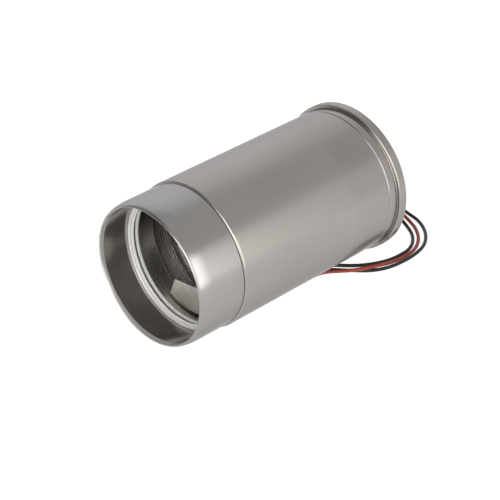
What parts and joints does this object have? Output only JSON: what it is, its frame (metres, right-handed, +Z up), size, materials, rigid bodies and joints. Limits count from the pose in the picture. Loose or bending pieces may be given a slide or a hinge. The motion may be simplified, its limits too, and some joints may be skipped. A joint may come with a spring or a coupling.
{
  "type": "uv clarifier",
  "caption": "Stainless steel lamp canister of a UV clarifier: screwed mouth collar with quartz window, plug-in lamp and lock ring inside, flanged rear cap and flying leads.",
  "frame": {"origin": "on the ground under the middle of the canister, between the nose of the mouth and the rear flange face, without the leads and their boot", "axes": "+Y runs from the mouth to the rear flange, +Z is up; the canister's own axis leans 1.25 degrees nose down from +Y, because the rear flange is wider than the tube"},
  "size_m": [0.0796, 0.1837, 0.0796],
  "materials": {
    "satin_stainless": "satin",
    "bright_stainless": "bright",
    "sheet_metal": "satin",
    "plated_brass": "satin",
    "tinned_copper": "satin",
    "pale_silicone": "matte",
    "seal_rubber": "matte",
    "quartz": "clear",
    "ceramic": "matte",
    "red_lead_cover": "satin",
    "black_lead_cover": "satin"
  },
  "bodies": {
    "housing": {"bond_screw": "bright_stainless", "bond_tag": "plated_brass", "bracket_screw_left": "bright_stainless", "bracket_screw_right": "bright_stainless", "bracket_standoff_left": "plated_brass", "bracket_standoff_right": "plated_brass", "cap_screw_left": "bright_stainless", "cap_screw_right": "bright_stainless", "carrier_stop_ring": "bright_stainless", "guard_rivet_left": "bright_stainless", "guard_rivet_right": "bright_stainless", "housing_tube": "satin_stainless", "inner_bond_lead": "black_lead_cover", "inner_red_lead": "red_lead_cover", "inner_socket_lead": "black_lead_cover", "lamp_cushion": "pale_silicone", "lamp_diaphragm": "sheet_metal", "lamp_guard": "sheet_metal", "lamp_socket": "ceramic", "lead_black_inner": "black_lead_cover", "lead_black_outer": "black_lead_cover", "lead_grommet": "seal_rubber", "lead_red": "red_lead_cover", "rear_cap": "satin_stainless", "rear_oring": "seal_rubber", "socket_bracket": "sheet_metal", "socket_contact_left": "plated_brass", "socket_contact_right": "plated_brass", "socket_screw_left": "bright_stainless", "socket_screw_right": "bright_stainless", "thermal_cutout": "ceramic", "tinned_end_inner": "tinned_copper", "tinned_end_outer": "tinned_copper", "tinned_end_red": "tinned_copper"},
    "collar_seal": {"collar_oring": "seal_rubber"},
    "collar": {"front_collar": "satin_stainless", "window_clip": "bright_stainless", "window_front_gasket": "pale_silicone", "quartz_window": "quartz", "window_rear_gasket": "pale_silicone"},
    "lock_washer": {"lock_washer": "bright_stainless"},
    "lock_ring": {"lock_ring": "bright_stainless"},
    "lamp": {"lamp_tube": "quartz", "lamp_cap": "ceramic", "lamp_pin_left": "plated_brass", "lamp_pin_right": "plated_brass"}
  },
  "joints": [
    {"name": "collar_travel", "type": "slide", "parent": "housing", "child": "collar_seal", "axis": [0, -0.9999, -0.0164], "range_m": [0, 0.003]},
    {"name": "collar_turn", "type": "hinge", "parent": "collar_seal", "child": "collar", "pos_m": [0, -0.05225, 0.03787], "axis": [0, -0.9999, -0.0164], "range_deg": [0, 720]},
    {"name": "lock_travel", "type": "slide", "parent": "housing", "child": "lock_washer", "axis": [0, -0.9999, -0.0164], "range_m": [0, 0.006]},
    {"name": "lock_turn", "type": "hinge", "parent": "lock_washer", "child": "lock_ring", "pos_m": [0, -0.02275, 0.03836], "axis": [0, -0.9999, -0.0164], "range_deg": [0, 1440]},
    {"name": "lamp_pull", "type": "slide", "parent": "housing", "child": "lamp", "axis": [0, -0.9999, -0.0164], "range_m": [0, 0.01]}
  ],
  "couplings": [
    {"joint": "collar_travel", "follows": "collar_turn", "m_per_rad": 0.00023873},
    {"joint": "lock_travel", "follows": "lock_turn", "m_per_rad": 0.00023873}
  ]
}
